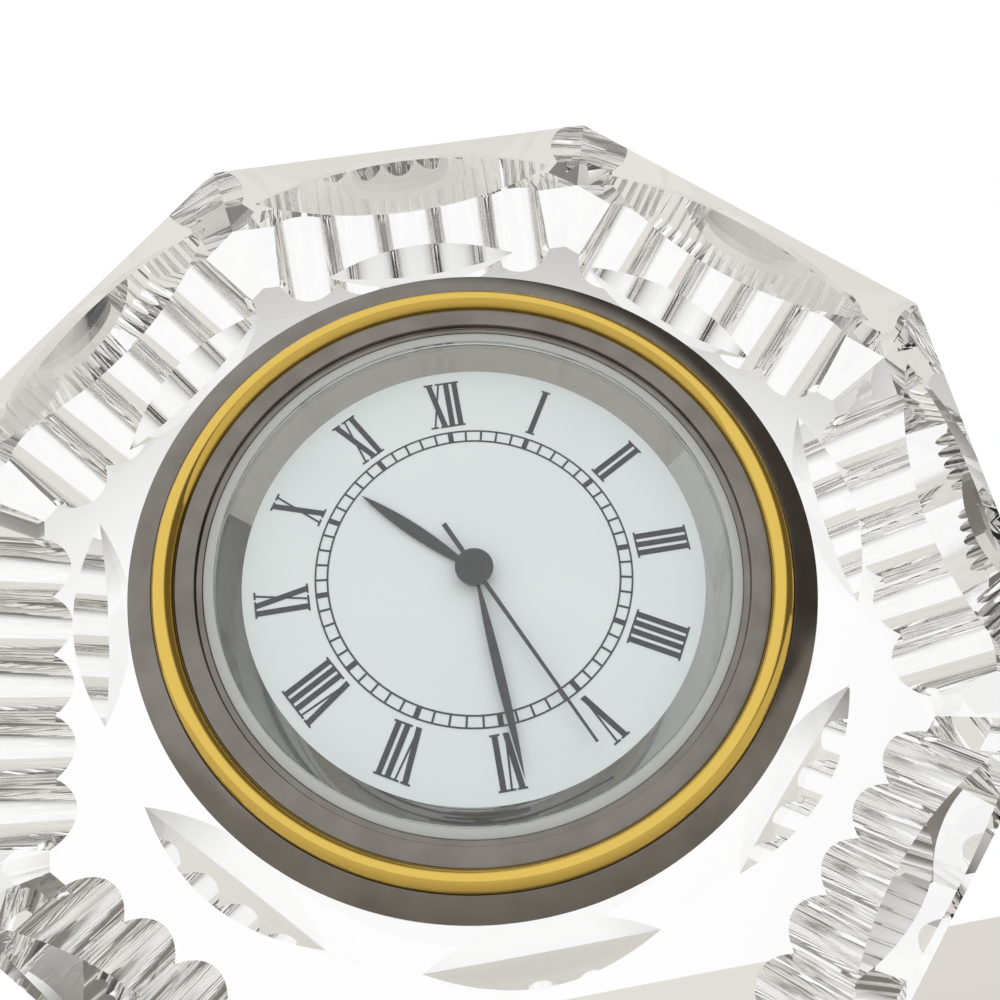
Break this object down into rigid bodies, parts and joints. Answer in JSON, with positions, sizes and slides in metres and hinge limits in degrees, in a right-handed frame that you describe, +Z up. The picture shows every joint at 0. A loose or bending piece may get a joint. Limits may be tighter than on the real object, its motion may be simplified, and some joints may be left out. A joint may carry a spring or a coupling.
{
  "type": "desk clock",
  "caption": "Eight-sided cut crystal desk clock: clear block with lens cuts and flutes, two-tone bezel, white Roman dial, quartz insert that pulls out of a blind bore.",
  "frame": {"origin": "middle of the space the clock stands on, on the plane of the flat under the 6", "axes": "+Z up through the 12, -Y out of the dial toward the viewer, +X toward the 3"},
  "size_m": [0.0664, 0.0184, 0.0664],
  "materials": {
    "crystal": "polished, clear cut crystal",
    "cover_glass": "clear flat glass",
    "steel": "polished and finely turned",
    "gold": "polished gold plate",
    "white_nylon": "translucent",
    "mirror_steel": "mirror polished",
    "dial_white": "satin lacquer",
    "print": "printed",
    "hand_dark": "satin lacquer",
    "case_steel": "satin",
    "band_rubber": "matte",
    "plate": "satin",
    "wheel_brass": "satin",
    "wheel_plastic": "moulded",
    "magnet": "satin",
    "stator_iron": "satin",
    "copper": "wound enamelled wire",
    "board": "lacquered board",
    "cell_steel": "satin",
    "insulator": "film"
  },
  "bodies": {
    "block": {"crystal_block": "crystal"},
    "insert": {"bezel": "steel", "gold_ring": "gold", "cover_glass": "cover_glass", "glass_gasket": "white_nylon", "rehaut_ring": "mirror_steel", "dial": "dial_white", "dial_numerals": "print", "minute_track": "print", "case_body": "case_steel", "case_back": "case_steel", "fit_up_band": "band_rubber", "movement_ring": "white_nylon", "main_plate": "plate", "train_bridge": "plate", "stator": "stator_iron", "coil": "copper", "circuit_board": "board", "quartz_crystal": "cell_steel", "button_cell": "cell_steel", "battery_clamp": "case_steel", "back_insulator": "insulator", "screws": "case_steel"},
    "seconds": {"second_hand": "hand_dark", "fourth_wheel": "wheel_brass"},
    "minutes": {"minute_hand": "hand_dark", "cannon_pinion": "wheel_brass", "centre_wheel": "wheel_brass"},
    "hours": {"hour_hand": "hand_dark", "hour_wheel": "wheel_brass"},
    "third": {"third_wheel": "wheel_brass"},
    "minute_work": {"minute_wheel": "wheel_plastic"},
    "intermediate": {"intermediate_wheel": "wheel_plastic"},
    "rotor_body": {"rotor": "magnet"},
    "setting": {"setting_lever": "case_steel"},
    "winder": {"setting_stem": "case_steel", "crown": "case_steel"}
  },
  "joints": [
    {"name": "insert_pull", "type": "slide", "parent": "block", "child": "insert", "axis": [0, -1, 0], "range_m": [0, 0.02]},
    {"name": "second_turn", "type": "hinge", "parent": "insert", "child": "seconds", "pos_m": [0, -0.00329, 0.0332], "axis": [0, 1, 0], "continuous": true},
    {"name": "minute_turn", "type": "hinge", "parent": "insert", "child": "minutes", "pos_m": [0, -0.00329, 0.0332], "axis": [0, 1, 0], "continuous": true},
    {"name": "hour_turn", "type": "hinge", "parent": "insert", "child": "hours", "pos_m": [0, -0.00329, 0.0332], "axis": [0, 1, 0], "continuous": true},
    {"name": "third_turn", "type": "hinge", "parent": "insert", "child": "third", "pos_m": [-0.00319, -0.00329, 0.03204], "axis": [0, 1, 0], "continuous": true},
    {"name": "minute_wheel_turn", "type": "hinge", "parent": "insert", "child": "minute_work", "pos_m": [0.0036, -0.00329, 0.0332], "axis": [0, 1, 0], "continuous": true},
    {"name": "intermediate_turn", "type": "hinge", "parent": "insert", "child": "intermediate", "pos_m": [0.00268, -0.00329, 0.03095], "axis": [0, 1, 0], "continuous": true},
    {"name": "rotor_turn", "type": "hinge", "parent": "insert", "child": "rotor_body", "pos_m": [0.00477, -0.00329, 0.02919], "axis": [0, 1, 0], "continuous": true},
    {"name": "crown_pull", "type": "slide", "parent": "insert", "child": "setting", "axis": [1, 0, 0], "range_m": [0, 0.0007]},
    {"name": "crown_turn", "type": "hinge", "parent": "setting", "child": "winder", "pos_m": [0.016, -0.00413, 0.0332], "axis": [1, 0, 0], "continuous": true}
  ],
  "couplings": [
    {"joint": "minute_turn", "follows": "second_turn", "ratio": 0.016667},
    {"joint": "hour_turn", "follows": "second_turn", "ratio": 0.0013889},
    {"joint": "third_turn", "follows": "second_turn", "ratio": -0.13333},
    {"joint": "minute_wheel_turn", "follows": "second_turn", "ratio": -0.0055556},
    {"joint": "intermediate_turn", "follows": "second_turn", "ratio": -5},
    {"joint": "rotor_turn", "follows": "second_turn", "ratio": 30}
  ]
}
